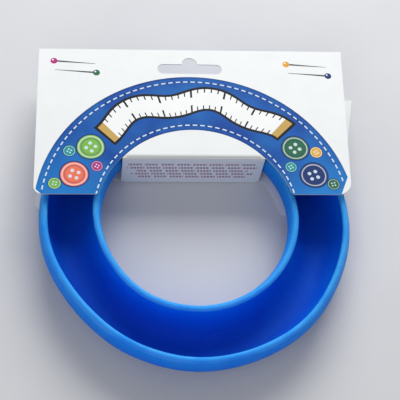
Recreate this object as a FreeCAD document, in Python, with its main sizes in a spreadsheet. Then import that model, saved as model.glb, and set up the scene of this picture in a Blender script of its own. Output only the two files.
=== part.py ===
"""A soft bobbin ring on a J-hook paperboard card.

The ring is one moulding: a C-shaped section turned about the vertical axis, open on top, whose lips
grip sewing-machine bobbins. The card wraps one side of it. Its front panel lies on the lips, a
bridge folds down through the ring's hole, and a tab at the bridge's foot is glued to a second board
that lies under the ring.

Millimetres. The origin is on the ring's axis, level with the underside of the back board. +Z is up,
out of the channel's mouth, and +Y points from the ring's axis to the card's hang hole.
"""
import FreeCAD, Part
import enum
import math
import os
import typing

import Sketcher

# Driving dimensions: alias, value and what it measures
SIZES = (
    ("ring_radius", 58.0, "axis to the middle of the channel"),
    ("section_radius", 14.3, "outside radius of the C-section"),
    ("ring_height", 21.5, "underside to the tops of the lips"),
    ("wall", 2.8, "wall of the moulding"),
    ("ring_play", 0.2, "ring's underside above the back board"),
    ("board", 0.5, "thickness of the paperboard"),
    ("crease_offset", 27.2, "ring's axis to the middle of the bridge"),
    ("crease_slack", 2.0, "underside of the crease above the lips"),
    ("crease_gap", 0.3, "crease's axis to the front panel's edge"),
    ("lip_play", 0.15, "front panel above the far lip at rest"),
    ("side_overhang", 2.5, "front panel's side past the ring's outside"),
    ("front_shift", 1.6, "front panel's sides off the ring's axis, to the right"),
    ("front_flare", 1.4, "front panel's left side, out at its foot"),
    ("front_taper", 3.2, "front panel's right side, in at its foot"),
    ("header_overhang", 16.45, "front panel's top left corner past the ring's outside"),
    ("header_rise", 0.75, "front panel's top right corner above its top left one"),
    ("leg_drop", 19.2, "crease to the ends of the legs"),
    ("arch_margin", 2.9, "inside edge of the legs outside the ring's hole"),
    ("leg_corner", 4.0, "outer corner of a leg"),
    ("worn_corner", 7.0, "outer corner of the front panel's right leg, rounded off by wear"),
    ("leg_toe", 2.5, "inner corner of a leg"),
    ("header_corner", 0.3, "top corner of a board"),
    ("hang_width", 31.5, "hang hole, end to end"),
    ("hang_slot", 5.6, "height of the hang hole's slot"),
    ("hang_dome", 3.8, "radius of the hang hole's dome"),
    ("hang_edge", 4.35, "front panel's top left corner down to the dome"),
    ("bridge_play", 0.3, "bridge's corners clear of the ring's hole"),
    ("bridge_corner", 2.5, "free lower corner of the bridge"),
    ("side_cut", 0.4, "die cut between the bridge and a leg"),
    ("tab_width", 25.0, "glue tab, side to side"),
    ("tab_depth", 12.0, "glue tab, from the bridge"),
    ("tab_corner", 2.0, "corner of the glue tab"),
    ("back_inset", 0.4, "arch's middle to the back board's left side, less than the ring's radius"),
    ("back_overhang", 14.5, "arch's middle to the back board's top right corner, past the ring's radius"),
    ("back_taper", 11.0, "back board's right side, in at its foot"),
    ("back_top_overhang", 3.0, "back board's top edge past the ring's outside"),
    ("back_leg_drop", 17.5, "crease to the ends of the back board's legs"),
    ("back_notch_play", 4.6, "back board's arch past the side of the bridge"),
    ("back_shift", 2.2, "back board glued this far to the left"),
    ("back_skew", 0.8, "degrees that the back board is glued askew"),
)

# Sizes that follow from the driving ones: alias and formula
DERIVED = (
    ("outer_radius", "sizes.ring_radius + sizes.section_radius"),
    ("hole_radius", "sizes.ring_radius - sizes.section_radius"),
    ("inner_section", "sizes.section_radius - sizes.wall"),
    ("tip_radius", "sizes.wall / 2"),
    ("mid_radius", "sizes.section_radius - tip_radius"),
    ("ring_base", "sizes.board + sizes.ring_play"),
    ("section_height", "ring_base + sizes.section_radius"),
    ("tip_rise", "sizes.ring_height - sizes.section_radius - tip_radius"),
    ("tip_offset", "sqrt(mid_radius ^ 2 - tip_rise ^ 2)"),
    ("half_board", "sizes.board / 2"),
    ("crease_roll", "half_board * 0.98"),
    ("crease_height", "ring_base + sizes.ring_height + sizes.crease_slack + half_board"),
    ("far_lip_run", "sizes.ring_radius + tip_offset - sizes.crease_offset"),
    ("panel_slope", "atan((sizes.crease_slack - sizes.lip_play) / far_lip_run)"),
    ("bridge_reach", "hole_radius - sizes.bridge_play"),
    ("bridge_back", "sizes.crease_offset + half_board"),
    ("half_bridge", "sqrt(bridge_reach ^ 2 - bridge_back ^ 2)"),
    ("bridge_rise", "crease_height - half_board"),
    ("half_tab", "sizes.tab_width / 2"),
    ("half_notch", "half_bridge + sizes.side_cut"),
    ("arch_radius", "hole_radius + sizes.arch_margin"),
    ("front_left", "outer_radius + sizes.side_overhang - sizes.front_shift"),
    ("front_right", "outer_radius + sizes.side_overhang + sizes.front_shift"),
    ("front_left_foot", "front_left + sizes.front_flare"),
    ("front_right_foot", "front_right - sizes.front_taper"),
    ("front_top", "outer_radius + sizes.header_overhang - sizes.crease_offset"),
    ("front_top_right", "front_top + sizes.header_rise"),
    ("back_left", "outer_radius - sizes.back_inset"),
    ("back_right", "outer_radius + sizes.back_overhang"),
    ("back_right_foot", "back_right - sizes.back_taper"),
    ("back_top", "outer_radius + sizes.back_top_overhang - sizes.crease_offset"),
    ("back_notch", "half_bridge + sizes.back_notch_play"),
    ("back_place", "-sizes.back_shift"),
    ("slot_radius", "sizes.hang_slot / 2"),
    ("slot_reach", "sizes.hang_width / 2 - slot_radius"),
    ("dome_height", "front_top - sizes.hang_edge - sizes.hang_dome"),
)

NEAR = 1e-4
ALONG_X = FreeCAD.Vector(1, 0, 0)
ALONG_Y = FreeCAD.Vector(0, 1, 0)
ALONG_Z = FreeCAD.Vector(0, 0, 1)


class At(enum.IntEnum):
    """Sketcher's numbers for the points of a curve."""

    START = 1
    END = 2
    CENTRE = 3


class Axis(enum.IntEnum):
    """Sketcher's numbers for a sketch's own axes."""

    LEVEL = -1
    UPRIGHT = -2


# The start of the level axis is the sketch's origin
ORIGIN_POINT = (Axis.LEVEL, At.START)


def make_sheets(doc):
    """Write the driving dimensions into one sheet and what follows from them into another.

    Returns a table from each alias to its number and to the name that an expression gives it.
    """
    sizes = doc.addObject("Spreadsheet::Sheet", "sizes")
    for row, (alias, value, note) in enumerate(SIZES, start=1):
        sizes.set(f"A{row}", note)
        sizes.set(f"B{row}", str(value))
        sizes.setAlias(f"B{row}", alias)
    doc.recompute()
    derived = doc.addObject("Spreadsheet::Sheet", "derived")
    for row, (alias, formula) in enumerate(DERIVED, start=1):
        derived.set(f"B{row}", f"={formula}")
        derived.setAlias(f"B{row}", alias)
    doc.recompute()
    table = {}
    for sheet, rows in ((sizes, SIZES), (derived, DERIVED)):
        for alias, *_ in rows:
            number = sheet.get(alias)
            table[alias] = (float(getattr(number, "Value", number)), f"{sheet.Name}.{alias}")
    return table


def vector(x, y, z=0.0):
    """Return a point."""
    return FreeCAD.Vector(x, y, z)


class Outline:
    """A sketch on one of its body's own origin planes, with dimensions bound to the sheets."""

    def __init__(self, piece, name, role):
        self.piece = piece
        plane = next(item for item in piece.body.Origin.OriginFeatures if item.Role == role)
        self.sketch = piece.body.newObject("Sketcher::SketchObject", name)
        self.sketch.AttachmentSupport = (plane, "")
        self.sketch.MapMode = "FlatFace"

    def line(self, start, end):
        """Draw a straight edge and return its number."""
        return self.sketch.addGeometry(Part.LineSegment(vector(*start), vector(*end)), False)

    def arc(self, centre, radius, first, last):
        """Draw an arc, anticlockwise between two angles, and return its number."""
        circle = Part.Circle(vector(*centre), ALONG_Z, radius)
        return self.sketch.addGeometry(Part.ArcOfCircle(circle, first, last), False)

    def hold(self, kind, *refs):
        """Add a constraint and return its number."""
        return self.sketch.addConstraint(Sketcher.Constraint(kind, *refs))

    def chain(self, edges, smooth=()):
        """Join edges end to start round a closed loop, tangent where two of them run on smoothly."""
        for edge, following in zip(edges, edges[1:] + edges[:1]):
            kind = "Tangent" if (edge, following) in smooth else "Coincident"
            self.hold(kind, edge, At.END, following, At.START)

    def dimension(self, name, kind, refs, alias):
        """Add a named dimension and bind it to a size."""
        index = self.hold(kind, *refs, self.piece.value(alias))
        self.sketch.renameConstraint(index, name)
        self.piece.bind(self.sketch, f"Constraints.{name}", alias)


class Piece:
    """One body of the document, with the table of sizes at hand."""

    def __init__(self, doc, table, label):
        self.doc = doc
        self.table = table
        self.body = doc.addObject("PartDesign::Body", label)
        self.body.Label = label

    def value(self, alias):
        """Return one size as a number."""
        return self.table[alias][0]

    def bind(self, item, key, alias, sign=""):
        """Bind a property of an object of the document to a size."""
        item.setExpression(key, sign + self.table[alias][1])

    def pad(self, outline, midplane):
        """Raise an outline by the board's thickness."""
        board = self.body.newObject("PartDesign::Pad", "board")
        board.Profile = outline.sketch
        board.Midplane = midplane
        self.bind(board, "Length", "board")
        self.doc.recompute()
        return board

    def round_corners(self, base, name, corners, alias, direction):
        """Round the straight edges that run along a direction through the given corners."""
        names = []
        for number, edge in enumerate(base.Shape.Edges, start=1):
            if edge.Curve.TypeId != "Part::GeomLine":
                continue
            if abs(edge.tangentAt(edge.FirstParameter).dot(direction)) < 1 - NEAR:
                continue
            middle = edge.CenterOfMass
            foot = middle - direction * middle.dot(direction)
            if any(foot.distanceToPoint(corner) < NEAR for corner in corners):
                names.append(f"Edge{number}")
        if len(names) != len(corners):
            raise RuntimeError(f"{name}: found {len(names)} of {len(corners)} corners")
        fillet = self.body.newObject("PartDesign::Fillet", name)
        fillet.Base = (base, names)
        self.bind(fillet, "Radius", alias)
        self.doc.recompute()
        return fillet

    def place(self, **places):
        """Bind the body's place along the named axes to sizes."""
        for axis, alias in places.items():
            self.bind(self.body, f"Placement.Base.{axis}", alias)
        self.doc.recompute()

    def turn_back(self, axis, alias):
        """Turn the body clockwise about an axis by a bound angle.

        An expression drives the angle alone, so the axis is set first with the same turn.
        """
        self.body.Placement.Rotation = FreeCAD.Rotation(axis, -self.value(alias))
        self.bind(self.body, "Placement.Rotation.Angle", alias, "-")
        self.doc.recompute()


def bobbin_ring(doc, table):
    """Turn the C-shaped section about the ring's axis."""
    piece = Piece(doc, table, "bobbin_ring")
    section = Outline(piece, "c_section", "XZ_Plane")
    middle_x = piece.value("ring_radius")
    middle_z = piece.value("section_height")
    offset = piece.value("tip_offset")
    tip_radius = piece.value("tip_radius")
    tip_z = middle_z + piece.value("tip_rise")
    tip_angle = math.atan2(piece.value("tip_rise"), offset)
    first = math.pi - tip_angle
    last = 2 * math.pi + tip_angle
    outer = section.arc((middle_x, middle_z), piece.value("section_radius"), first, last)
    inner = section.arc((middle_x, middle_z), piece.value("inner_section"), first, last)
    far_tip = section.arc((middle_x + offset, tip_z), tip_radius, tip_angle, tip_angle + math.pi)
    near_tip = section.arc((middle_x - offset, tip_z), tip_radius, -tip_angle, first)
    section.hold("Coincident", outer, At.CENTRE, inner, At.CENTRE)
    section.hold("Tangent", outer, At.END, far_tip, At.START)
    section.hold("Tangent", far_tip, At.END, inner, At.END)
    section.hold("Tangent", inner, At.START, near_tip, At.START)
    section.hold("Tangent", near_tip, At.END, outer, At.START)
    middle = (outer, At.CENTRE)
    section.dimension("ring_radius", "DistanceX", ORIGIN_POINT + middle, "ring_radius")
    section.dimension("height", "DistanceY", ORIGIN_POINT + middle, "section_height")
    section.dimension("outside", "Radius", (outer,), "section_radius")
    section.dimension("inside", "Radius", (inner,), "inner_section")
    section.dimension("far_lip", "DistanceX", middle + (far_tip, At.CENTRE), "tip_offset")
    section.dimension("near_lip", "DistanceX", (near_tip, At.CENTRE) + middle, "tip_offset")
    turned = piece.body.newObject("PartDesign::Revolution", "turned_section")
    turned.Profile = section.sketch
    turned.ReferenceAxis = (section.sketch, ["V_Axis"])
    turned.Angle = 360.0
    doc.recompute()
    return piece


class BoardSizes(typing.NamedTuple):
    """The names of a board's sizes, across from the arch's middle and up from the crease."""

    left: str
    left_foot: str
    right: str
    right_foot: str
    top_left: str
    top_right: str
    chord: str
    notch: str
    leg: str
    left_corner: str
    right_corner: str


def arched_board(piece, sizes, midplane):
    """Cut a board with two legs and an arch between them, and round its corners.

    The chord is the straight edge across the arch, as wide each way as the notch. A board on its
    midplane lies half above the drawing plane.
    """
    outline = Outline(piece, "outline", "XY_Plane")
    left_x = -piece.value(sizes.left)
    left_foot_x = -piece.value(sizes.left_foot)
    right_x = piece.value(sizes.right)
    right_foot_x = piece.value(sizes.right_foot)
    top_left_y = piece.value(sizes.top_left)
    top_right_y = piece.value(sizes.top_right)
    chord_y = piece.value(sizes.chord)
    foot_y = -piece.value(sizes.leg)
    notch = piece.value(sizes.notch)
    radius = piece.value("arch_radius")
    centre_y = chord_y - math.sqrt(radius**2 - notch**2)
    toe = math.sqrt(radius**2 - (foot_y - centre_y) ** 2)
    toe_angle = math.atan2(foot_y - centre_y, toe)
    chord_angle = math.atan2(chord_y - centre_y, notch)
    top_edge = outline.line((left_x, top_left_y), (right_x, top_right_y))
    right_side = outline.line((right_x, top_right_y), (right_foot_x, foot_y))
    right_foot = outline.line((right_foot_x, foot_y), (toe, foot_y))
    right_arch = outline.arc((0, centre_y), radius, toe_angle, chord_angle)
    chord_edge = outline.line((notch, chord_y), (-notch, chord_y))
    left_arch = outline.arc((0, centre_y), radius, math.pi - chord_angle, math.pi - toe_angle)
    left_foot = outline.line((-toe, foot_y), (left_foot_x, foot_y))
    left_side = outline.line((left_foot_x, foot_y), (left_x, top_left_y))
    outline.chain(
        [top_edge, right_side, right_foot, right_arch, chord_edge, left_arch, left_foot, left_side]
    )
    for level in (right_foot, left_foot, chord_edge):
        outline.hold("Horizontal", level)
    outline.hold("Coincident", right_arch, At.CENTRE, left_arch, At.CENTRE)
    outline.hold("PointOnObject", right_arch, At.CENTRE, Axis.UPRIGHT)
    outline.dimension("left", "DistanceX", (left_side, At.END) + ORIGIN_POINT, sizes.left)
    outline.dimension("left_foot", "DistanceX", (left_side, At.START) + ORIGIN_POINT, sizes.left_foot)
    outline.dimension("right", "DistanceX", ORIGIN_POINT + (right_side, At.START), sizes.right)
    outline.dimension("right_foot", "DistanceX", ORIGIN_POINT + (right_side, At.END), sizes.right_foot)
    outline.dimension("top_left", "DistanceY", ORIGIN_POINT + (top_edge, At.START), sizes.top_left)
    outline.dimension("top_right", "DistanceY", ORIGIN_POINT + (top_edge, At.END), sizes.top_right)
    outline.dimension("right_leg", "DistanceY", (right_foot, At.END) + ORIGIN_POINT, sizes.leg)
    outline.dimension("left_leg", "DistanceY", (left_foot, At.END) + ORIGIN_POINT, sizes.leg)
    outline.dimension("chord", "DistanceY", ORIGIN_POINT + (chord_edge, At.START), sizes.chord)
    outline.dimension("notch", "DistanceX", ORIGIN_POINT + (chord_edge, At.START), sizes.notch)
    outline.dimension("right_arch", "Radius", (right_arch,), "arch_radius")
    outline.dimension("left_arch", "Radius", (left_arch,), "arch_radius")
    shape = piece.pad(outline, midplane)
    for name, corners, alias in (
        ("rounded_top", ((left_x, top_left_y), (right_x, top_right_y)), "header_corner"),
        ("rounded_left_heel", ((left_foot_x, foot_y),), sizes.left_corner),
        ("rounded_right_heel", ((right_foot_x, foot_y),), sizes.right_corner),
        ("rounded_toes", ((-toe, foot_y), (toe, foot_y)), "leg_toe"),
    ):
        shape = piece.round_corners(shape, name, [vector(*corner) for corner in corners], alias, ALONG_Z)
    return shape


def hang_hole_outline(piece):
    """Draw the slot with round ends and a dome, from which the card hangs on a peg."""
    hole = Outline(piece, "hang_hole", "XY_Plane")
    end = piece.value("slot_radius")
    reach = piece.value("slot_reach")
    dome = piece.value("hang_dome")
    dome_y = piece.value("dome_height")
    slot_y = dome_y - end
    right_end = hole.arc((reach, slot_y), end, -math.pi / 2, math.pi / 2)
    right_top = hole.line((reach, dome_y), (dome, dome_y))
    dome_top = hole.arc((0, dome_y), dome, 0, math.pi)
    left_top = hole.line((-dome, dome_y), (-reach, dome_y))
    left_end = hole.arc((-reach, slot_y), end, math.pi / 2, 3 * math.pi / 2)
    bottom = hole.line((-reach, slot_y - end), (reach, slot_y - end))
    hole.chain(
        [right_end, right_top, dome_top, left_top, left_end, bottom],
        smooth={
            (right_end, right_top),
            (left_top, left_end),
            (left_end, bottom),
            (bottom, right_end),
        },
    )
    hole.hold("Horizontal", right_top)
    hole.hold("Horizontal", left_top)
    hole.hold("PointOnObject", dome_top, At.CENTRE, Axis.UPRIGHT)
    hole.hold("PointOnObject", dome_top, At.CENTRE, right_top)
    hole.hold("Equal", right_end, left_end)
    hole.hold("Symmetric", bottom, At.START, bottom, At.END, Axis.UPRIGHT)
    hole.dimension("dome", "Radius", (dome_top,), "hang_dome")
    hole.dimension("dome_height", "DistanceY", ORIGIN_POINT + (dome_top, At.CENTRE), "dome_height")
    hole.dimension("slot", "Radius", (right_end,), "slot_radius")
    hole.dimension("reach", "DistanceX", ORIGIN_POINT + (right_end, At.CENTRE), "slot_reach")
    piece.doc.recompute()
    return hole


def front_panel(doc, table):
    """Cut the front panel: header with its hang hole, two legs, and the crease's edge between them."""
    piece = Piece(doc, table, "front_panel")
    sizes = BoardSizes(
        left="front_left",
        left_foot="front_left_foot",
        right="front_right",
        right_foot="front_right_foot",
        top_left="front_top",
        top_right="front_top_right",
        chord="crease_gap",
        notch="half_notch",
        leg="leg_drop",
        left_corner="leg_corner",
        right_corner="worn_corner",
    )
    whole = arched_board(piece, sizes, True)
    hole = hang_hole_outline(piece)
    punched = piece.body.newObject("PartDesign::Pocket", "punched_hole")
    punched.Profile = hole.sketch
    punched.Type = "ThroughAll"
    punched.Midplane = True
    doc.recompute()
    cut_away = whole.Shape.Volume - punched.Shape.Volume
    plug = Part.Face(hole.sketch.Shape.Wires[0]).Area * piece.value("board")
    if abs(cut_away - plug) > NEAR * plug:
        raise RuntimeError("the hang hole is not cut through")
    piece.place(y="crease_offset", z="crease_height")
    piece.turn_back(ALONG_X, "panel_slope")
    return piece


def rectangle(piece, role, half_width, rise):
    """Draw a rectangle that stands on the sketch's origin. The last two arguments name its sizes."""
    outline = Outline(piece, "outline", role)
    side = piece.value(half_width)
    top = piece.value(rise)
    foot = outline.line((-side, 0), (side, 0))
    right = outline.line((side, 0), (side, top))
    head = outline.line((side, top), (-side, top))
    left = outline.line((-side, top), (-side, 0))
    outline.chain([foot, right, head, left])
    for level in (foot, head):
        outline.hold("Horizontal", level)
    for upright in (right, left):
        outline.hold("Vertical", upright)
    outline.hold("Symmetric", foot, At.START, foot, At.END, *ORIGIN_POINT)
    outline.dimension("half_width", "DistanceX", ORIGIN_POINT + (foot, At.END), half_width)
    outline.dimension("rise", "DistanceY", (right, At.START, right, At.END), rise)
    return outline


def bridge_flap(doc, table):
    """Cut the bridge that stands in the ring's hole, rounded over along the crease."""
    piece = Piece(doc, table, "bridge_flap")
    board = piece.pad(rectangle(piece, "XZ_Plane", "half_bridge", "bridge_rise"), True)
    side = piece.value("half_bridge")
    face = piece.value("half_board")
    top = piece.value("bridge_rise")
    feet = [vector(-side, 0, 0), vector(side, 0, 0)]
    rounded = piece.round_corners(board, "rounded_feet", feet, "bridge_corner", ALONG_Y)
    folds = [vector(0, -face, top), vector(0, face, top)]
    piece.round_corners(rounded, "rolled_crease", folds, "crease_roll", ALONG_X)
    piece.place(y="crease_offset", z="board")
    return piece


def glue_tab(doc, table):
    """Cut the tab that folds from the bridge's foot and lies glued on the back board."""
    piece = Piece(doc, table, "glue_tab")
    board = piece.pad(rectangle(piece, "XY_Plane", "half_tab", "tab_depth"), False)
    side = piece.value("half_tab")
    depth = piece.value("tab_depth")
    ends = [vector(-side, depth), vector(side, depth)]
    piece.round_corners(board, "rounded_end", ends, "tab_corner", ALONG_Z)
    piece.place(y="bridge_back", z="board")
    return piece


def back_panel(doc, table):
    """Cut the board that lies under the ring, glued a little askew."""
    piece = Piece(doc, table, "back_panel")
    sizes = BoardSizes(
        left="back_left",
        left_foot="back_left",
        right="back_right",
        right_foot="back_right_foot",
        top_left="back_top",
        top_right="back_top",
        chord="half_board",
        notch="back_notch",
        leg="back_leg_drop",
        left_corner="leg_corner",
        right_corner="leg_corner",
    )
    arched_board(piece, sizes, False)
    piece.place(x="back_place", y="crease_offset")
    piece.turn_back(ALONG_Z, "back_skew")
    return piece


def check(doc, pieces):
    """Stop if any object of the document failed, or a piece has no sound single solid."""
    for item in doc.Objects:
        if {"Invalid", "Error"} & set(item.State):
            raise RuntimeError(f"{item.Label} failed: {item.State}")
    for piece in pieces:
        shape = piece.body.Shape
        if shape.isNull() or not shape.isValid() or len(shape.Solids) != 1:
            raise RuntimeError(f"{piece.body.Label} is not one sound solid")


def main():
    """Build the document and write each piece to its own file."""
    doc = FreeCAD.newDocument("bobbin_ring_on_card")
    table = make_sheets(doc)
    makers = (bobbin_ring, front_panel, bridge_flap, glue_tab, back_panel)
    pieces = [maker(doc, table) for maker in makers]
    doc.recompute()
    check(doc, pieces)
    os.makedirs("parts", exist_ok=True)
    for piece in pieces:
        shape = piece.body.Shape
        box = shape.optimalBoundingBox()
        print(
            f"{piece.body.Label}: volume {shape.Volume:.1f}, "
            f"x {box.XMin:.2f} to {box.XMax:.2f}, "
            f"y {box.YMin:.2f} to {box.YMax:.2f}, "
            f"z {box.ZMin:.2f} to {box.ZMax:.2f}"
        )
        shape.exportStep(f"parts/{piece.body.Label}.step")


main()
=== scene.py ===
"""Looks of a soft bobbin ring that sits in a folded paperboard card.

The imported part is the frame. Sizes are in millimetres in its coordinates, and meshes are in metres.
"""

import logging
import math
from collections.abc import Callable
from dataclasses import dataclass, field
from enum import Enum

import bpy
from mathutils import Matrix, Quaternion, Vector


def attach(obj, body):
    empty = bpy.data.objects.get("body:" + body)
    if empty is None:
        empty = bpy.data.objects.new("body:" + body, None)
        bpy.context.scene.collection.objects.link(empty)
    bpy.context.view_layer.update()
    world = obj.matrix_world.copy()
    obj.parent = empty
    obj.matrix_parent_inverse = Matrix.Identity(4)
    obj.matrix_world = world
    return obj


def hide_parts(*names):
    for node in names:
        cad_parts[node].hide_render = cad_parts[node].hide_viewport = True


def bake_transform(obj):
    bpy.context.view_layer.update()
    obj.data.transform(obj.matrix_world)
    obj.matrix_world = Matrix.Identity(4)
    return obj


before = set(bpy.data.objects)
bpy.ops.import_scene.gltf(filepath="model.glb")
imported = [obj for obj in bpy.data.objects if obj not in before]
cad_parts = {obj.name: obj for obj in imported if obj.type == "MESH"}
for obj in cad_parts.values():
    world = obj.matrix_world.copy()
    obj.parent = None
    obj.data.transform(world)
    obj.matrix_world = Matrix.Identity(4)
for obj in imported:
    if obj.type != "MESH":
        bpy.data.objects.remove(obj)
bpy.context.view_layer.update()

LOG = logging.getLogger("bobbin_ring_scene")
MM = 0.001
PER_METRE = 1000.0

MATH = "ShaderNodeMath"
VECTOR = "ShaderNodeVectorMath"
SPLIT = "ShaderNodeSeparateXYZ"
JOIN = "ShaderNodeCombineXYZ"
MIX = "ShaderNodeMix"
RAMP = "ShaderNodeValToRGB"
NOISE = "ShaderNodeTexNoise"
CELLS = "ShaderNodeTexVoronoi"
RANGE = "ShaderNodeMapRange"
BUMP = "ShaderNodeBump"
PLACE = "ShaderNodeTexCoord"
SHADER = "ShaderNodeBsdfPrincipled"
SURFACE = "ShaderNodeOutputMaterial"

# Sockets of the mix node, whose names repeat
MIX_FACTOR = 0
MIX_LOW = 2
MIX_HIGH = 3
MIX_FROM = 6
MIX_TO = 7
MIX_NUMBER = 0
MIX_COLOUR = 2

# Most of a noise lies between these values
NOISE_LOW = 0.3
NOISE_HIGH = 0.7

# The sRGB curve
FULL_STEP = 255
SRGB_KNEE = 0.04045
SRGB_SLOPE = 12.92
SRGB_OFFSET = 0.055
SRGB_POWER = 2.4

# Drops the height of a place
LEVEL = (1.0, 1.0, 0.0)

# Edges that turn by more degrees than this stay sharp
SMOOTH_ANGLE = 40.0

Socket = bpy.types.NodeSocket
Colour = tuple[float, float, float, float]
Layer = tuple[Socket, Socket | Colour]


class BoardFace(Enum):
    """The way that a board's coated side faces."""

    TOP = (0.0, 0.0, 1.0)
    FRONT = (0.0, -1.0, 0.0)


class Lip(Enum):
    """The ring's lips, by the side of the channel that they stand on."""

    OUTER = 1
    INNER = -1


class Lamp(Enum):
    """The lamps of the studio."""

    KEY = "window_key"
    FILL = "soft_fill"


def linear(colour: str) -> Colour:
    """Turn an sRGB hex colour into linear values.

    Args:
        colour: the colour as "#RRGGBB".

    Returns:
        Linear red, green, blue and full alpha.
    """
    steps = [int(colour[at:at + 2], 16) / FULL_STEP for at in (1, 3, 5)]
    lows = [step / SRGB_SLOPE for step in steps]
    highs = [((step + SRGB_OFFSET) / (1 + SRGB_OFFSET)) ** SRGB_POWER for step in steps]
    red, green, blue = (low if step <= SRGB_KNEE else high for step, low, high in zip(steps, lows, highs))
    return red, green, blue, 1.0


class Net:
    """The shader nodes of one material or world."""

    def __init__(self, owner: bpy.types.Material | bpy.types.World) -> None:
        """Clear the owner's nodes.

        Args:
            owner: the material or world.
        """
        owner.use_nodes = True
        self.tree = owner.node_tree
        self.tree.nodes.clear()

    def add(
        self,
        kind: str,
        *values: object,
        sockets: dict[str | int, object] | None = None,
        output: str | int = 0,
        stops: list[tuple[float, Colour]] | None = None,
        stepped: bool = False,
        **settings: object,
    ) -> Socket | None:
        """Add a node with its settings and links.

        Args:
            kind: the node's type.
            values: what goes into its first inputs, in order, as numbers or other nodes' outputs.
            sockets: what goes into inputs that are named or numbered.
            output: the output to return.
            stops: the places and colours of a ramp.
            stepped: True where the ramp jumps from stop to stop.
            settings: the node's own settings.

        Returns:
            The output asked for, or None where the node has none.
        """
        node = self.tree.nodes.new(kind)
        for name, value in settings.items():
            setattr(node, name, value)
        if stops:
            ramp = node.color_ramp
            ramp.interpolation = "CONSTANT" if stepped else "LINEAR"
            while len(ramp.elements) < len(stops):
                ramp.elements.new(1.0)
            for element, (place, colour) in zip(ramp.elements, stops):
                element.position = place
                element.color = colour
        for key, value in {**dict(enumerate(values)), **(sockets or {})}.items():
            if isinstance(value, Socket):
                self.tree.links.new(value, node.inputs[key])
            else:
                node.inputs[key].default_value = value
        return node.outputs[output] if node.outputs else None


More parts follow.
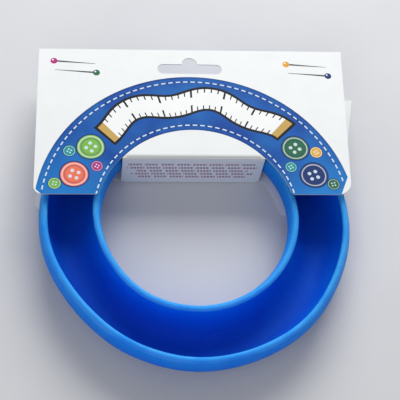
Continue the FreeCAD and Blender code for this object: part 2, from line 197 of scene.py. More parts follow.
@dataclass(frozen=True)
class Elastomer:
    """Injection moulded thermoplastic elastomer, mass coloured."""

    # A satin skin whose base colour carries painted shade and a painted highlight: deep down in the channel
    # and darker lower on the outside wall, paler along the lips, with a faint cloudiness of the pigment and
    # a little lint that it holds.
    # The index is under an elastomer's usual 1.5, matched to a skin whose highlights are weak.
    name: str = "moulded_thermoplastic_elastomer"
    # Stops run from painted shade at the channel's floor to a painted highlight along the lips.
    shade_to_highlight_tones: tuple[tuple[float, str], ...] = (
        (0.00, "#004EC8"),
        (0.40, "#006ADC"),
        (0.80, "#0A86EA"),
        (0.93, "#1C8CEA"),
        (1.00, "#3FA0F2"),
    )
    cloudiness: float = 0.05
    ring_radius: float = 58.0
    section_height: float = 15.0
    skin_from: float = 12.4
    skin_to: float = 13.4
    channel_deep: float = 5.0
    wall_deep: float = 15.0
    lip_top: float = 21.3
    outer_wall_shade: float = 0.5
    lint: str = "#7FB2EE"
    sheen: str = "#6CBBFF"
    gloss: str = "#9FD2FF"
    cloud_mm: float = 16.0
    cloud_detail: float = 3.0
    peel_mm: float = 3.2
    peel_detail: float = 4.0
    peel_height_mm: float = 0.030
    grain_mm: float = 0.5
    grain_detail: float = 2.0
    grain_height_mm: float = 0.006
    lint_mm: float = 5.0
    lint_size: float = 0.035
    lint_strength: float = 0.35
    smooth: float = 0.52
    dull: float = 0.64
    index: float = 1.32
    sheen_weight: float = 0.03
    sheen_roughness: float = 0.5
    depth_weight: float = 0.85
    depth_mm: float = 6.0
    depth_colour: tuple[float, float, float] = (0.08, 0.42, 1.0)

    def material(self) -> bpy.types.Material:
        """Make the elastomer.

        Returns:
            The material.
        """
        made = bpy.data.materials.new(self.name)
        net = Net(made)
        place = net.add(PLACE, output="Object")
        cloud, smear, grain = (
            net.add(NOISE, sockets={"Vector": place, "Scale": PER_METRE / size, "Detail": detail})
            for size, detail in (
                (self.cloud_mm, self.cloud_detail),
                (self.peel_mm, self.peel_detail),
                (self.grain_mm, self.grain_detail),
            )
        )
        drift = net.add(RANGE, cloud, NOISE_LOW, NOISE_HIGH, -self.cloudiness, self.cloudiness)
        # The base colour gets painted shade in the channel and a painted highlight along the lips, plus a
        # random cloudiness of the pigment.
        tone = net.add(MATH, self.painted_shade_and_highlight(net, place), drift, operation="ADD")
        specks = net.add(CELLS, sockets={"Vector": place, "Scale": PER_METRE / self.lint_mm})
        lint = net.add(MATH, specks, self.lint_size, operation="LESS_THAN")
        held = net.add(MATH, lint, self.lint_strength, operation="MULTIPLY")
        colour = net.add(RAMP, tone, stops=[(at, linear(shade)) for at, shade in self.shade_to_highlight_tones])
        colour = net.add(
            MIX,
            sockets={MIX_FACTOR: held, MIX_FROM: colour, MIX_TO: linear(self.lint)},
            output=MIX_COLOUR,
            data_type="RGBA",
        )
        rough = net.add(RANGE, smear, NOISE_LOW, NOISE_HIGH, self.smooth, self.dull)
        relief = net.add(BUMP, sockets={"Height": smear, "Distance": self.peel_height_mm * MM})
        relief = net.add(
            BUMP, sockets={"Height": grain, "Distance": self.grain_height_mm * MM, "Normal": relief}
        )
        shader = net.add(
            SHADER,
            sockets={
                "Base Color": colour,
                "Roughness": rough,
                "Normal": relief,
                "IOR": self.index,
                "Sheen Weight": self.sheen_weight,
                "Sheen Roughness": self.sheen_roughness,
                "Sheen Tint": linear(self.sheen),
                "Specular Tint": linear(self.gloss),
                "Subsurface Weight": self.depth_weight,
                "Subsurface Radius": self.depth_colour,
                "Subsurface Scale": self.depth_mm * MM,
            },
        )
        net.add(SURFACE, shader)
        return made

    def painted_shade_and_highlight(self, net: Net, place: Socket) -> Socket:
        """Find the painted shade and painted highlight of the skin, from the shaded channel floor up to the
        pale lips.

        Args:
            net: the material's nodes.
            place: a place on the ring in metres.

        Returns:
            0 at the channel's floor, in painted shade, and 1 along the lips, as a painted highlight, with
            the outside of the ring between them.
        """
        millimetres = net.add(VECTOR, place, sockets={"Scale": PER_METRE}, operation="SCALE")
        x, y, z = net.add(SPLIT, millimetres).node.outputs
        radius = net.add(VECTOR, net.add(JOIN, x, y, 0.0), output="Value", operation="LENGTH")
        across = net.add(MATH, radius, self.ring_radius, operation="SUBTRACT")
        up = net.add(MATH, z, self.section_height, operation="SUBTRACT")
        reach = net.add(VECTOR, net.add(JOIN, across, up, 0.0), output="Value", operation="LENGTH")
        # Painted shade: darker down in the channel and lower on the outside wall; painted highlight towards
        # the lips.
        outside = net.add(RANGE, reach, self.skin_from, self.skin_to)
        channel = net.add(RANGE, z, self.channel_deep, self.lip_top)
        wall = net.add(RANGE, z, self.wall_deep, self.lip_top, self.outer_wall_shade, 1.0)
        return net.add(
            MIX,
            sockets={MIX_FACTOR: outside, MIX_LOW: channel, MIX_HIGH: wall},
            output=MIX_NUMBER,
            data_type="FLOAT",
        )


@dataclass(frozen=True)
class Paperboard:
    """Clay coated solid bleached board, die cut."""

    # A bright smooth coated side, a duller fibrous reverse, and a cut edge that shows the plies.
    # The index is under a coating's usual 1.5, matched to a card that shows little gloss.
    name: str = "coated_paperboard"
    face: BoardFace = BoardFace.TOP
    coated: str = "#EEF0EF"
    reverse: str = "#DEDCD6"
    edge: str = "#E9E6DE"
    ply: str = "#D6D1C6"
    ply_mm: float = 0.16
    edge_share: float = 0.2
    ply_share: float = 0.6
    mottle_mm: float = 11.0
    mottle_detail: float = 4.0
    mottle_depth: float = 0.035
    fibre_mm: float = 0.7
    fibre_detail: float = 3.0
    fibre_height_mm: float = 0.008
    wave_mm: float = 26.0
    wave_detail: float = 1.0
    wave_height_mm: float = 0.05
    coated_roughness: float = 0.46
    bare_roughness: float = 0.82
    ink_roughness: float = 0.40
    index: float = 1.18
    facing: float = 0.5
    fold_mm: float = 0.0
    fold_way: tuple[float, float, float] = (0.0, 1.0, 0.0)
    fold_start: float = 0.0
    fold_half: float = 33.5
    fold_fade: float = 2.5

    def layers(self, net: Net, place: Socket) -> list[Layer]:
        """Give the inks on the coated side, lowest first: none on a plain board."""
        return []

    def material(self) -> bpy.types.Material:
        """Make the board with its print.

        Returns:
            The material.
        """
        made = bpy.data.materials.new(self.name)
        net = Net(made)
        metres = net.add(PLACE, output="Object")
        place = net.add(VECTOR, metres, sockets={"Scale": PER_METRE}, operation="SCALE")
        normal = net.add(PLACE, output="Normal")
        turn = net.add(VECTOR, normal, self.face.value, output="Value", operation="DOT_PRODUCT")
        is_face = net.add(MATH, turn, self.facing, operation="GREATER_THAN")
        is_reverse = net.add(MATH, turn, -self.facing, operation="LESS_THAN")
        mottle, fibre, wave = (
            net.add(NOISE, sockets={"Vector": place, "Scale": 1 / size, "Detail": detail})
            for size, detail in (
                (self.mottle_mm, self.mottle_detail),
                (self.fibre_mm, self.fibre_detail),
                (self.wave_mm, self.wave_detail),
            )
        )
        through = net.add(VECTOR, place, self.face.value, output="Value", operation="DOT_PRODUCT")
        plies = net.add(MATH, net.add(MATH, through, self.ply_mm, operation="DIVIDE"), operation="FRACT")
        stops = [(self.edge_share, linear(self.edge)), (self.ply_share, linear(self.ply))]
        cut = net.add(RAMP, plies, stops=stops)
        colour = linear(self.coated)
        cover = is_reverse
        for mask, ink in self.layers(net, place):
            colour = net.add(
                MIX,
                sockets={MIX_FACTOR: mask, MIX_FROM: colour, MIX_TO: ink},
                output=MIX_COLOUR,
                data_type="RGBA",
            )
            cover = net.add(MATH, cover, mask, operation="MAXIMUM")
        colour = net.add(
            MIX,
            sockets={MIX_FACTOR: is_face, MIX_FROM: cut, MIX_TO: colour},
            output=MIX_COLOUR,
            data_type="RGBA",
        )
        colour = net.add(
            MIX,
            sockets={MIX_FACTOR: is_reverse, MIX_FROM: colour, MIX_TO: linear(self.reverse)},
            output=MIX_COLOUR,
            data_type="RGBA",
        )
        shade = net.add(RANGE, mottle, NOISE_LOW, NOISE_HIGH, 1 - self.mottle_depth, 1.0)
        colour = net.add(VECTOR, colour, sockets={"Scale": shade}, operation="SCALE")
        inked = net.add(RANGE, cover, 0.0, 1.0, self.coated_roughness, self.ink_roughness)
        rough = net.add(
            MIX,
            sockets={MIX_FACTOR: is_face, MIX_LOW: self.bare_roughness, MIX_HIGH: inked},
            output=MIX_NUMBER,
            data_type="FLOAT",
        )
        relief = net.add(BUMP, sockets={"Height": wave, "Distance": self.wave_height_mm * MM})
        relief = net.add(
            BUMP, sockets={"Height": fibre, "Distance": self.fibre_height_mm * MM, "Normal": relief}
        )
        if self.fold_mm:
            relief = self.soften_fold(net, place, relief)
        shader = net.add(
            SHADER,
            sockets={"Base Color": colour, "Roughness": rough, "Normal": relief, "IOR": self.index},
        )
        net.add(SURFACE, shader)
        return made

    def soften_fold(self, net: Net, place: Socket, relief: Socket) -> Socket:
        """Round the board over towards its fold, to half the fold's turn at the edge.

        Args:
            net: the board's nodes.
            place: a place on the board in millimetres.
            relief: the normal so far.

        Returns:
            The normal with the fold.
        """
        run = net.add(VECTOR, place, self.fold_way, output="Value", operation="DOT_PRODUCT")
        near = net.add(RANGE, run, self.fold_start, self.fold_start + self.fold_mm, 1.0, 0.0)
        x, *_ = net.add(SPLIT, place).node.outputs
        out = net.add(MATH, x, operation="ABSOLUTE")
        held = net.add(RANGE, out, self.fold_half - self.fold_fade, self.fold_half, 1.0, 0.0)
        drop = net.add(MATH, net.add(MATH, near, near, operation="MULTIPLY"), held, operation="MULTIPLY")
        depth = self.fold_mm / 2 * MM
        return net.add(BUMP, sockets={"Height": drop, "Distance": depth, "Normal": relief}, invert=True)


@dataclass(frozen=True)
class ButtonRow:
    """Buttons printed at even steps down both legs of the arch."""

    radius: float
    size: float
    first: float
    step: float
    count: int
    shade: int


@dataclass(frozen=True)
class ButtonShape:
    """A printed four-hole button: shares of its radius, and how strong its inks are."""

    edge: float = 1.1
    groove: float = 0.7
    gloss: float = 0.88
    line: float = 0.05
    hole_place: float = 0.24
    hole: float = 0.14
    groove_ink: float = 0.4
    gloss_ink: float = 0.45
    hole_ink: float = 0.9


@dataclass(frozen=True)
class ArchPrint(Paperboard):
    """The header's print: a blue arch with buttons, a measuring tape and running stitches."""

    # Offset ink sits smooth on the coating, so the print is a little glossier than the bare board.
    name: str = "printed_paperboard"
    fold_mm: float = 2.2
    fold_start: float = 27.3
    centre: tuple[float, float, float] = (0.0, -1.5, 0.0)
    inner: float = 44.3
    outer: float = 74.6
    blues: tuple[tuple[float, str], ...] = (
        (0.00, "#032F7E"),
        (0.05, "#074EA4"),
        (0.08, "#032D7A"),
        (0.11, "#054498"),
        (0.30, "#074EA4"),
        (0.60, "#0C59B0"),
        (0.87, "#07499C"),
        (0.91, "#043182"),
        (0.94, "#0B56AC"),
        (1.00, "#032D78"),
    )
    cuts: tuple[tuple[tuple[float, float, float], tuple[float, float, float]], ...] = (
        ((72.2, 17.5, 0.0), (0.922, -0.386, 0.0)),
        ((-73.6, 10.9, 0.0), (-0.940, -0.341, 0.0)),
        ((-72.8, 9.7, 0.0), (-0.707, -0.707, 0.0)),
    )
    tint: str = "#2F86CC"
    tint_mm: float = 17.0
    tint_detail: float = 2.0
    tint_from: float = 0.4
    tint_to: float = 0.7
    tint_depth: float = 0.35
    foot_tint: str = "#2C94DE"
    foot_from: float = 52.0
    foot_to: float = 86.0
    foot_depth: float = 0.6
    thread: str = "#D5E6F4"
    stitch_rows: tuple[float, ...] = (47.0, 71.7)
    stitch_mm: float = 3.6
    stitch_share: float = 0.6
    stitch_half: float = 0.32
    stitch_clear: float = 1.4
    rows: tuple[ButtonRow, ...] = (
        ButtonRow(radius=66.7, size=2.9, first=53.0, step=16.0, count=2, shade=1),
        ButtonRow(radius=51.6, size=2.7, first=54.0, step=16.0, count=1, shade=4),
        ButtonRow(radius=59.4, size=6.4, first=46.5, step=16.0, count=2, shade=2),
    )
    button_colours: tuple[str, ...] = (
        "#E8649A", "#23386F", "#F0785A", "#E9B23C", "#1F9A98", "#B5307F", "#2E6B45", "#7DB84A"
    )
    button: ButtonShape = field(default_factory=ButtonShape)
    button_edge: str = "#123A78"
    button_gloss: str = "#FFFFFF"
    left_shade: int = 3
    shade_stride: int = 3
    tape_radius: float = 60.4
    tape_wave: float = 2.2
    tape_step: float = 36.0
    tape_half: float = 5.6
    tape_edge: float = 1.3
    tape_span: float = 45.0
    tape_white: str = "#F4F5F4"
    tape_black: str = "#17181C"
    tape_brass: str = "#C7A45C"
    cap_mm: float = 3.6
    marks: tuple[tuple[float, float, float], ...] = ((3.0, 0.55, 3.6), (15.0, 0.9, 2.0))
    pin_places: tuple[tuple[float, float, float, str], ...] = (
        (-66.0, 81.6, -4.0, "#B5307F"),
        (-45.5, 75.0, 176.0, "#2E6B45"),
        (48.0, 81.4, -4.0, "#E0A02C"),
        (68.5, 74.8, 176.0, "#23386F"),
    )
    pin_mm: float = 20.0
    pin_half: float = 0.5
    pin_point: float = 0.12
    pin_head: float = 1.7
    pin_glint: tuple[float, float] = (-0.3, 0.35)
    pin_spark: float = 0.42
    pin_steel: str = "#4A4F5C"

    def layers(self, net: Net, place: Socket) -> list[Layer]:
        """Give the inks of the print, lowest first.

        Args:
            net: the board's nodes.
            place: a place on the board in millimetres.

        Returns:
            Masks and their inks.
        """
        offset = net.add(VECTOR, place, self.centre, operation="SUBTRACT")
        level = net.add(VECTOR, offset, LEVEL, operation="MULTIPLY")
        radius = net.add(VECTOR, level, output="Value", operation="LENGTH")
        across, along, _ = net.add(SPLIT, offset).node.outputs
        lean = net.add(MATH, net.add(MATH, across, along, operation="ARCTAN2"), operation="DEGREES")
        laid = self.band(net, place, radius, lean)
        laid += self.stitches(net, self.within(net, place, radius, self.stitch_clear), radius, lean)
        for row in self.rows:
            laid += self.buttons(net, row, radius, lean)
        return laid + self.tape(net, radius, lean) + self.pins(net, place)

    def band(self, net: Net, place: Socket, radius: Socket, lean: Socket) -> list[Layer]:
        """Lay the blue arch, deep at its crown and clearer towards its feet.

        Args:
            net: the board's nodes.
            place: a place on the board in millimetres.
            radius: its distance from the arch's centre.
            lean: its angle from the arch's crown.

        Returns:
            The arch's three inks.
        """
        mask = self.within(net, place, radius, 0.0)
        depth = net.add(RANGE, radius, self.inner, self.outer)
        blue = net.add(RAMP, depth, stops=[(at, linear(colour)) for at, colour in self.blues])
        cloud = net.add(
            NOISE, sockets={"Vector": place, "Scale": 1 / self.tint_mm, "Detail": self.tint_detail}
        )
        wash = net.add(RANGE, cloud, self.tint_from, self.tint_to, 0.0, self.tint_depth)
        washed = net.add(MATH, mask, wash, operation="MULTIPLY")
        slope = net.add(MATH, lean, operation="ABSOLUTE")
        fade = net.add(RANGE, slope, self.foot_from, self.foot_to, 0.0, self.foot_depth)
        cleared = net.add(MATH, mask, fade, operation="MULTIPLY")
        return [(mask, blue), (washed, linear(self.tint)), (cleared, linear(self.foot_tint))]

    def within(self, net: Net, place: Socket, radius: Socket, margin: float) -> Socket:
        """Find what lies on the arch, clear of its edges and of its cut corners.

        Args:
            net: the board's nodes.
            place: a place on the board in millimetres.
            radius: its distance from the arch's centre.
            margin: how far it keeps inside.

        Returns:
            The mask.
        """
        middle = (self.inner + self.outer) / 2
        half = (self.outer - self.inner) / 2
        mask = net.add(MATH, radius, middle, half - margin, operation="COMPARE")
        for corner, way in self.cuts:
            apart = net.add(VECTOR, place, corner, operation="SUBTRACT")
            past = net.add(VECTOR, apart, way, output="Value", operation="DOT_PRODUCT")
            kept = net.add(MATH, past, -margin, operation="LESS_THAN")
            mask = net.add(MATH, mask, kept, operation="MULTIPLY")
        return mask

    def stitches(self, net: Net, band: Socket, radius: Socket, lean: Socket) -> list[Layer]:
        """Lay the running stitches along both edges of the arch.

        Args:
            net: the board's nodes.
            band: the arch's mask.
            radius: the distance from the arch's centre.
            lean: the angle from the arch's crown.

        Returns:
            One ink for each row.
        """
        laid = []
        for row in self.stitch_rows:
            line = net.add(MATH, radius, row, self.stitch_half, operation="COMPARE")
            line = net.add(MATH, line, band, operation="MULTIPLY")
            count = net.add(MATH, lean, math.radians(row) / self.stitch_mm, operation="MULTIPLY")
            dash = net.add(
                MATH, net.add(MATH, count, operation="FRACT"), self.stitch_share, operation="LESS_THAN"
            )
            laid.append((net.add(MATH, line, dash, operation="MULTIPLY"), linear(self.thread)))
        return laid

    def buttons(self, net: Net, row: ButtonRow, radius: Socket, lean: Socket) -> list[Layer]:
        """Lay one row of four-hole buttons down each leg.

        Args:
            net: the board's nodes.
            row: the row's place and size.
            radius: the distance from the arch's centre.
            lean: the angle from the arch's crown.

        Returns:
            The buttons' edge, face, groove, gloss and holes.
        """
        side = net.add(MATH, lean, 0.0, operation="LESS_THAN")
        slope = net.add(MATH, lean, operation="ABSOLUTE")
        reach = row.step * row.count / 2
        within = net.add(MATH, slope, row.first + reach, reach, operation="COMPARE")
        count = net.add(RANGE, slope, row.first, row.first + row.step, clamp=False)
        number = net.add(MATH, count, operation="FLOOR")
        share = net.add(MATH, net.add(MATH, count, operation="FRACT"), 0.5, operation="SUBTRACT")
        along = net.add(MATH, share, math.radians(row.step) * row.radius, operation="MULTIPLY")
        out = net.add(MATH, radius, row.radius, operation="SUBTRACT")
        spot = net.add(JOIN, along, out, 0.0)
        far = net.add(VECTOR, spot, output="Value", operation="LENGTH")
        choice = net.add(MATH, side, float(self.left_shade), number, operation="MULTIPLY_ADD")
        choice = net.add(MATH, choice, float(row.shade), operation="ADD")
        part = 1 / len(self.button_colours)
        choice = net.add(MATH, choice, self.shade_stride * part, part / 2, operation="MULTIPLY_ADD")
        palette = [(at * part, linear(colour)) for at, colour in enumerate(self.button_colours)]
        face = net.add(RAMP, net.add(MATH, choice, operation="FRACT"), stops=palette, stepped=True)
        quarter = net.add(VECTOR, spot, operation="ABSOLUTE")
        shape = self.button
        line = shape.line * row.size
        hole_place = (shape.hole_place * row.size, shape.hole_place * row.size, 0.0)
        hole_far = net.add(VECTOR, quarter, hole_place, output="Value", operation="DISTANCE")
        edge = net.add(MATH, far, shape.edge * row.size, operation="LESS_THAN")
        disc = net.add(MATH, far, row.size, operation="LESS_THAN")
        groove = net.add(MATH, far, shape.groove * row.size, line, operation="COMPARE")
        gloss = net.add(MATH, far, shape.gloss * row.size, line, operation="COMPARE")
        hole = net.add(MATH, hole_far, shape.hole * row.size, operation="LESS_THAN")
        marks = (
            (edge, 1.0, linear(self.button_edge)),
            (disc, 1.0, face),
            (groove, shape.groove_ink, linear(self.button_edge)),
            (gloss, shape.gloss_ink, linear(self.button_gloss)),
            (hole, shape.hole_ink, linear(self.thread)),
        )
        laid = []
        for mask, strength, ink in marks:
            kept = net.add(MATH, mask, within, operation="MULTIPLY")
            laid.append((net.add(MATH, kept, strength, operation="MULTIPLY"), ink))
        return laid

    def tape(self, net: Net, radius: Socket, lean: Socket) -> list[Layer]:
        """Lay a waving measuring tape over the crown of the arch.

        Args:
            net: the board's nodes.
            radius: the distance from the arch's centre.
            lean: the angle from the arch's crown.

        Returns:
            The tape's outline, body, marks and end caps.
        """
        steepest = self.tape_wave * math.tau / (math.radians(self.tape_step) * self.tape_radius)
        turn = net.add(MATH, lean, math.tau / self.tape_step, operation="MULTIPLY")
        rise = net.add(MATH, net.add(MATH, turn, operation="SINE"), self.tape_wave, operation="MULTIPLY")
        slope = net.add(MATH, net.add(MATH, turn, operation="COSINE"), steepest, operation="MULTIPLY")
        stretch = net.add(MATH, net.add(MATH, slope, slope, 1.0, operation="MULTIPLY_ADD"), operation="SQRT")
        out = net.add(MATH, radius, self.tape_radius, operation="SUBTRACT")
        miss = net.add(MATH, net.add(MATH, out, rise, operation="SUBTRACT"), stretch, operation="DIVIDE")
        gap = net.add(MATH, miss, operation="ABSOLUTE")
        along = net.add(MATH, lean, math.radians(self.tape_radius), operation="MULTIPLY")
        half = math.radians(self.tape_radius) * self.tape_span
        inside = net.add(MATH, gap, self.tape_half, operation="LESS_THAN")
        body = net.add(MATH, along, 0.0, half, operation="COMPARE")
        middle = net.add(MATH, along, 0.0, half - self.cap_mm, operation="COMPARE")
        outline = net.add(MATH, gap, self.tape_half + self.tape_edge, operation="LESS_THAN")
        whole = net.add(MATH, along, 0.0, half + self.tape_edge, operation="COMPARE")
        black = linear(self.tape_black)
        laid = [
            (net.add(MATH, outline, whole, operation="MULTIPLY"), black),
            (net.add(MATH, inside, body, operation="MULTIPLY"), linear(self.tape_brass)),
            (net.add(MATH, inside, middle, operation="MULTIPLY"), linear(self.tape_white)),
        ]
        for step, width, clear in self.marks:
            count = net.add(MATH, along, 1 / step, 0.5, operation="MULTIPLY_ADD")
            share = net.add(MATH, count, operation="FRACT")
            mark = net.add(MATH, share, 0.5, width / 2 / step, operation="COMPARE")
            edge = net.add(MATH, gap, clear, operation="GREATER_THAN")
            for limit in (edge, inside, middle):
                mark = net.add(MATH, mark, limit, operation="MULTIPLY")
            laid.append((mark, black))
        return laid

    def pins(self, net: Net, place: Socket) -> list[Layer]:
        """Lay the ball-headed pins in the header's top corners.

        Args:
            net: the board's nodes.
            place: a place on the board in millimetres.

        Returns:
            Each pin's shaft, head and gloss.
        """
        laid = []
        for x, y, turn, colour in self.pin_places:
            way = (math.cos(math.radians(turn)), math.sin(math.radians(turn)), 0.0)
            side = (-way[1], way[0], 0.0)
            apart = net.add(VECTOR, place, (x, y, 0.0), operation="SUBTRACT")
            level = net.add(VECTOR, apart, LEVEL, operation="MULTIPLY")
            run = net.add(VECTOR, level, way, output="Value", operation="DOT_PRODUCT")
            off = net.add(VECTOR, level, side, output="Value", operation="DOT_PRODUCT")
            taper = net.add(RANGE, run, 0.0, self.pin_mm, self.pin_half, self.pin_point)
            thin = net.add(MATH, net.add(MATH, off, operation="ABSOLUTE"), taper, operation="LESS_THAN")
            long = net.add(MATH, run, self.pin_mm / 2, self.pin_mm / 2, operation="COMPARE")
            far = net.add(VECTOR, level, output="Value", operation="LENGTH")
            glint = [self.pin_head * share for share in self.pin_glint]
            shine = net.add(VECTOR, level, (*glint, 0.0), output="Value", operation="DISTANCE")
            laid += [
                (net.add(MATH, thin, long, operation="MULTIPLY"), linear(self.pin_steel)),
                (net.add(MATH, far, self.pin_head, operation="LESS_THAN"), linear(colour)),
                (net.add(MATH, shine, self.pin_spark, operation="LESS_THAN"), linear(self.button_gloss)),
            ]
        return laid


@dataclass(frozen=True)
class TickPrint(Paperboard):
    """The bridge's print: rows of short dull ticks."""

    # The board stands upright here, so its coated side faces forward and its plies run up and down.
    name: str = "ticked_paperboard"
    face: BoardFace = BoardFace.FRONT
    fold_mm: float = 2.2
    fold_way: tuple[float, float, float] = (0.0, 0.0, -1.0)
    fold_start: float = -24.6
    ink: str = "#A03A68"
    strength: float = 0.75
    rows: tuple[tuple[float, float], ...] = (
        (18.6, 30.8), (15.3, 31.2), (12.3, 26.8), (9.3, 29.3), (6.4, 26.2)
    )
    row_half: float = 0.85
    tick_mm: float = 1.5
    tick_share: float = 0.72
    group_mm: float = 7.7
    group_share: float = 0.84

    def layers(self, net: Net, place: Socket) -> list[Layer]:
        """Give the ink of each row of ticks.

        Args:
            net: the board's nodes.
            place: a place on the board in millimetres.

        Returns:
            One ink for each row.
        """
        x, _, z = net.add(SPLIT, place).node.outputs
        laid = []
        for number, (height, half) in enumerate(self.rows):
            line = net.add(MATH, z, height, self.row_half, operation="COMPARE")
            span = net.add(MATH, x, 0.0, half, operation="COMPARE")
            mask = net.add(MATH, line, span, operation="MULTIPLY")
            for step, share in ((self.tick_mm, self.tick_share), (self.group_mm, self.group_share)):
                moved = net.add(MATH, x, 1 / step, number * share, operation="MULTIPLY_ADD")
                dash = net.add(MATH, net.add(MATH, moved, operation="FRACT"), share, operation="LESS_THAN")
                mask = net.add(MATH, mask, dash, operation="MULTIPLY")
            laid.append((net.add(MATH, mask, self.strength, operation="MULTIPLY"), linear(self.ink)))
        return laid


@dataclass(frozen=True)
class StudioPaper:
    """Matt seamless background paper."""

    # Nearly even, with a very faint cloudiness and a fine tooth.
    name: str = "seamless_paper"
    pale: str = "#DADADC"
    dim: str = "#D5D5D8"
    cloud_mm: float = 60.0
    tooth_mm: float = 0.8
    tooth_height_mm: float = 0.02
    detail: float = 2.0
    roughness: float = 0.9

    def material(self) -> bpy.types.Material:
        """Make the paper.

        Returns:
            The material.
        """
        made = bpy.data.materials.new(self.name)
        net = Net(made)
        place = net.add(PLACE, output="Object")
        cloud, tooth = (
            net.add(NOISE, sockets={"Vector": place, "Scale": PER_METRE / size, "Detail": self.detail})
            for size in (self.cloud_mm, self.tooth_mm)
        )
        colour = net.add(RAMP, cloud, stops=[(NOISE_LOW, linear(self.dim)), (NOISE_HIGH, linear(self.pale))])
        relief = net.add(BUMP, sockets={"Height": tooth, "Distance": self.tooth_height_mm * MM})
        shader = net.add(
            SHADER, sockets={"Base Color": colour, "Roughness": self.roughness, "Normal": relief}
        )
        net.add(SURFACE, shader)
        return made


def deselect() -> None:
    """Leave nothing selected."""
    bpy.ops.object.select_all(action="DESELECT")


def select_points(piece: bpy.types.Object, chosen: Callable[[Vector], bool]) -> None:
    """Go into edit mode with some of a piece's points selected.

    Args:
        piece: the piece.
        chosen: tells from a point's place whether it is selected.
    """
    bpy.ops.object.mode_set(mode="EDIT")
    bpy.ops.mesh.select_mode(type="VERT")
    bpy.ops.mesh.select_all(action="DESELECT")
    bpy.ops.object.mode_set(mode="OBJECT")
    for point in piece.data.vertices:
        point.select = chosen(point.co)
    bpy.ops.object.mode_set(mode="EDIT")


def apply_modifier(piece: bpy.types.Object, kind: str, **settings: object) -> None:
    """Add a modifier with its settings and apply it.

    Args:
        piece: the active piece.
        kind: the modifier's type.
        settings: its settings.
    """
    modifier = piece.modifiers.new(kind.lower(), kind)
    for name, value in settings.items():
        setattr(modifier, name, value)
    bpy.ops.object.modifier_apply(modifier=modifier.name)


def finish_mesh(piece: bpy.types.Object, name: str, material: bpy.types.Material) -> None:
    """Name a piece, smooth it and give it its material.

    Args:
        piece: the active piece.
        name: its name.
        material: its material.
    """
    bpy.ops.object.shade_smooth_by_angle(angle=math.radians(SMOOTH_ANGLE))
    piece.name = name
    piece.data.name = name
    piece.data.materials.clear()
    piece.data.materials.append(material)
    deselect()


@dataclass(frozen=True)
class LipPull:
    """One stretch where a soft lip leans."""

    lip: Lip
    azimuth: float
    arc: float
    inward: float
    spread: float


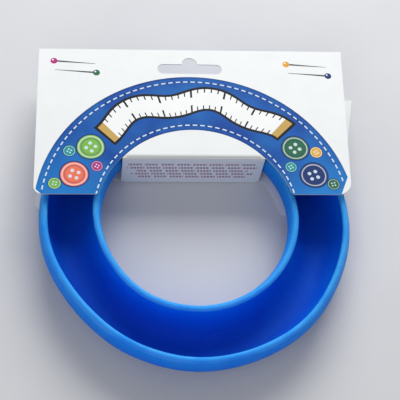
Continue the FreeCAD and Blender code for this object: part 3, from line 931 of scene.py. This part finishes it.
@dataclass
class BobbinRing:
    """The soft ring: a round channel with thick rounded lips."""

    radius: float = 58.0
    middle: float = 12.9
    wall: float = 2.8
    centre_height: float = 15.0
    lip_angle: float = 26.72
    section_points: int = 96
    steps: int = 288
    lip_round: float = 1.39
    lip_segments: int = 8
    lip_edge_angle: float = 60.0
    lip_reach: float = 2.2
    weld: float = 0.002
    pulls: tuple[LipPull, ...] = (
        LipPull(Lip.OUTER, azimuth=-142.0, arc=2.0, inward=1.3, spread=34.0),
        LipPull(Lip.OUTER, azimuth=-88.0, arc=2.0, inward=-0.9, spread=36.0),
        LipPull(Lip.OUTER, azimuth=-50.0, arc=2.0, inward=-1.2, spread=40.0),
        LipPull(Lip.OUTER, azimuth=-12.0, arc=2.0, inward=-0.5, spread=30.0),
        LipPull(Lip.INNER, azimuth=-156.0, arc=26.0, inward=0.3, spread=6.0),
        LipPull(Lip.INNER, azimuth=-156.0, arc=18.0, inward=0.3, spread=6.0),
        LipPull(Lip.INNER, azimuth=-156.0, arc=10.0, inward=0.3, spread=6.0),
    )
    finish: Elastomer = field(default_factory=Elastomer)

    def build(self) -> bpy.types.Object:
        """Spin the channel's section round the hole, thicken it and round its lips.

        Returns:
            The ring.
        """
        deselect()
        bpy.ops.mesh.primitive_circle_add(
            vertices=self.section_points,
            radius=self.middle * MM,
            location=(self.radius * MM, 0.0, self.centre_height * MM),
            rotation=(math.pi / 2, 0.0, 0.0),
        )
        ring = bpy.context.object
        bpy.ops.object.transform_apply(location=True, rotation=True, scale=True)
        _, tip_z = self.tip(Lip.OUTER)
        select_points(ring, lambda place: place.z > tip_z)
        bpy.ops.mesh.delete(type="VERT")
        bpy.ops.object.mode_set(mode="OBJECT")
        for lip in Lip:
            self.extend_lip(ring, lip)
        bpy.ops.object.mode_set(mode="EDIT")
        bpy.ops.mesh.select_all(action="SELECT")
        bpy.ops.mesh.spin(steps=self.steps, angle=math.tau, center=(0.0, 0.0, 0.0), axis=(0.0, 0.0, 1.0))
        bpy.ops.mesh.select_all(action="SELECT")
        bpy.ops.mesh.remove_doubles(threshold=self.weld * MM)
        bpy.ops.mesh.normals_make_consistent(inside=False)
        bpy.ops.object.mode_set(mode="OBJECT")
        apply_modifier(ring, "SOLIDIFY", thickness=self.wall * MM, offset=0.0, use_even_offset=True)
        apply_modifier(
            ring,
            "BEVEL",
            width=self.lip_round * MM,
            segments=self.lip_segments,
            limit_method="ANGLE",
            angle_limit=math.radians(self.lip_edge_angle),
        )
        for pull in self.pulls:
            self.lean_lip(ring, pull)
        finish_mesh(ring, "bobbin_ring_moulding", self.finish.material())
        return ring

    def tip(self, lip: Lip) -> Vector:
        """Find the middle of a lip's round.

        Args:
            lip: the lip.

        Returns:
            Its distance from the axis and its height, in metres.
        """
        lift = math.radians(self.lip_angle)
        out = self.radius + lip.value * self.middle * math.cos(lift)
        return Vector((out, self.centre_height + self.middle * math.sin(lift))) * MM

    def extend_lip(self, ring: bpy.types.Object, lip: Lip) -> None:
        """Set a section's end on its lip's middle and carry it straight on, with room for a full round.

        Args:
            ring: the ring's open section.
            lip: the lip to carry on.
        """
        tip = self.tip(lip)
        lift = math.radians(self.lip_angle)
        run = Vector((-lip.value * math.sin(lift), 0.0, math.cos(lift))) * self.wall / 2 * MM
        places = [point.co.copy() for point in ring.data.vertices]
        end = min(places, key=lambda place: (place.xz - tip).length)
        select_points(ring, lambda place: place == end)
        bpy.ops.transform.translate(value=Vector((tip.x, 0.0, tip.y)) - end)
        bpy.ops.mesh.extrude_vertices_move(TRANSFORM_OT_translate={"value": run})
        bpy.ops.object.mode_set(mode="OBJECT")

    def lean_lip(self, ring: bpy.types.Object, pull: LipPull) -> None:
        """Lean a lip in or out, as soft lips do.

        Args:
            ring: the ring.
            pull: where it leans and how far.
        """
        way = Vector((math.cos(math.radians(pull.azimuth)), math.sin(math.radians(pull.azimuth)), 0.0))
        tip = self.tip(pull.lip)
        arc = math.radians(pull.arc)

        def on_lip(place: Vector) -> bool:
            """Tell whether a point is on the stretch of lip that leans."""
            near = (Vector((place.xy.length, place.z)) - tip).length < self.lip_reach * MM
            return near and place.xy.angle(way.xy) < arc

        select_points(ring, on_lip)
        bpy.ops.transform.translate(
            value=-way * pull.inward * MM,
            use_proportional_edit=True,
            use_proportional_connected=True,
            proportional_edit_falloff="SMOOTH",
            proportional_size=pull.spread * MM,
        )
        bpy.ops.object.mode_set(mode="OBJECT")


@dataclass
class FoldedCard:
    """The card: printed header, bridge, tab and back board, with the paper skin of the crease."""

    crease: tuple[float, float, float] = (0.0, 27.2, 24.45)
    half_width: float = 33.6
    slope: float = 2.503
    skin_radius: float = 0.285
    skin: float = 0.03
    flat: float = 0.4
    turns: int = 10
    header: ArchPrint = field(default_factory=ArchPrint)
    bridge: TickPrint = field(default_factory=TickPrint)
    plain: Paperboard = field(default_factory=Paperboard)

    def dress(self) -> None:
        """Give each board its material."""
        finishes = {
            "front_panel": self.header,
            "bridge_flap": self.bridge,
            "glue_tab": self.plain,
            "back_panel": self.plain,
        }
        made = {finish.name: finish.material() for finish in finishes.values()}
        for node, finish in finishes.items():
            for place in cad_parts[node].material_slots:
                place.material = made[finish.name]
            LOG.info("%s dressed in %s", node, finish.name)

    def build_crease(self) -> bpy.types.Object:
        """Fold the unbroken paper skin over the score between header and bridge.

        Returns:
            The skin.
        """
        deselect()
        bpy.ops.mesh.primitive_plane_add(size=1.0)
        skin = bpy.context.object
        skin.scale = (2 * self.half_width * MM, self.flat * MM, 1.0)
        skin.location = (0.0, self.flat / 2 * MM, self.skin_radius * MM)
        bpy.ops.object.transform_apply(location=True, rotation=True, scale=True)
        skin.rotation_euler = (-math.radians(self.slope), 0.0, 0.0)
        bpy.ops.object.transform_apply(location=True, rotation=True, scale=True)
        middle = self.flat / 2 * MM
        select_points(skin, lambda place: place.y < middle)
        bpy.ops.mesh.spin(
            steps=self.turns,
            angle=math.pi / 2 + math.radians(self.slope),
            center=(0.0, 0.0, 0.0),
            axis=(1.0, 0.0, 0.0),
        )
        bpy.ops.mesh.extrude_region_move(TRANSFORM_OT_translate={"value": (0.0, 0.0, -self.flat * MM)})
        bpy.ops.mesh.select_all(action="SELECT")
        bpy.ops.mesh.normals_make_consistent(inside=False)
        bpy.ops.object.mode_set(mode="OBJECT")
        skin.location = [part * MM for part in self.crease]
        bpy.ops.object.transform_apply(location=True, rotation=True, scale=True)
        apply_modifier(skin, "SOLIDIFY", thickness=self.skin * MM, offset=-1.0)
        finish_mesh(skin, "crease_skin", bpy.data.materials[self.header.name])
        return skin

    def join_crease(self, skin: bpy.types.Object) -> None:
        """Bake the skin's place into its mesh.

        Args:
            skin: the skin of the crease.
        """
        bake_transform(skin)


@dataclass
class Studio:
    """A pale floor, soft light and the camera."""

    floor_size: float = 4000.0
    floor_drop: float = 0.2
    floor_divisions: int = 8
    floor_paper: StudioPaper = field(default_factory=StudioPaper)
    target: tuple[float, float, float] = (0.0, 20.0, 10.0)
    lamps: tuple[tuple[Lamp, tuple[float, float, float], float, float], ...] = (
        (Lamp.KEY, (0.14, 0.78, 0.60), 700.0, 11.0),
        (Lamp.FILL, (-0.35, -0.65, 0.68), 900.0, 2.2),
    )
    lamp_distance: float = 1000.0
    lamp_white: str = "#FFFFFF"
    sky: str = "#F7FAFF"
    sky_strength: float = 0.30
    camera_place: tuple[float, float, float] = (-55.01, -228.75, 504.31)
    camera_aim: tuple[float, float, float] = (1.93, 6.65, 22.2)
    camera_roll: float = 12.328
    lens: float = 104.81
    sensor: float = 36.0

    def build_floor(self) -> None:
        """Lay the floor a hair under the card."""
        deselect()
        bpy.ops.mesh.primitive_grid_add(
            x_subdivisions=self.floor_divisions,
            y_subdivisions=self.floor_divisions,
            size=self.floor_size * MM,
            location=(0.0, 0.0, -self.floor_drop * MM),
        )
        floor = bpy.context.object
        bpy.ops.object.transform_apply(location=True, rotation=True, scale=True)
        finish_mesh(floor, "studio_floor", self.floor_paper.material())

    def light(self) -> None:
        """Hang the lamps and set the sky."""
        aim = Vector(self.target) * MM
        for lamp, way, size, power in self.lamps:
            data = bpy.data.lights.new(lamp.value, "AREA")
            data.shape = "SQUARE"
            data.size = size * MM
            data.energy = power
            data.color = linear(self.lamp_white)[:3]
            hung = bpy.data.objects.new(lamp.value, data)
            direction = Vector(way).normalized()
            turn = direction.to_track_quat("Z", "Y")
            place = aim + direction * self.lamp_distance * MM
            hung.matrix_world = Matrix.LocRotScale(place, turn, None)
            bpy.context.scene.collection.objects.link(hung)
        world = bpy.data.worlds.new("soft_sky")
        bpy.context.scene.world = world
        net = Net(world)
        rays = net.add("ShaderNodeLightPath").node.outputs
        seen = net.add(MATH, rays["Is Camera Ray"], rays["Is Transmission Ray"], operation="MAXIMUM")
        strength = net.add(RANGE, seen, 0.0, 1.0, self.sky_strength, 1.0)
        sky = net.add("ShaderNodeBackground", linear(self.sky), strength)
        net.add("ShaderNodeOutputWorld", sky)
        bpy.context.scene.view_settings.view_transform = "Standard"

    def place_camera(self) -> None:
        """Stand the camera where the view is seen from."""
        data = bpy.data.cameras.new("view_camera")
        data.lens = self.lens
        data.sensor_width = self.sensor
        camera = bpy.data.objects.new("view_camera", data)
        place = Vector(self.camera_place) * MM
        look = (Vector(self.camera_aim) * MM - place).to_track_quat("-Z", "Y")
        roll = Quaternion((0.0, 0.0, 1.0), math.radians(self.camera_roll))
        camera.matrix_world = Matrix.LocRotScale(place, look @ roll, None)
        bpy.context.scene.collection.objects.link(camera)
        bpy.context.scene.camera = camera


def main() -> None:
    """Build and dress the ring and the card, then set up the studio."""
    logging.basicConfig(level=logging.INFO, format="%(name)s: %(message)s")
    ring = BobbinRing()
    moulding = ring.build()
    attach(moulding, "ring")
    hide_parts("bobbin_ring")
    LOG.info("%s has %d faces", moulding.name, len(moulding.data.polygons))
    card = FoldedCard()
    card.dress()
    skin = card.build_crease()
    card.join_crease(skin)
    LOG.info("%s has %d faces", skin.name, len(skin.data.polygons))
    studio = Studio()
    studio.build_floor()
    studio.light()
    studio.place_camera()


if __name__ == "__main__":
    main()
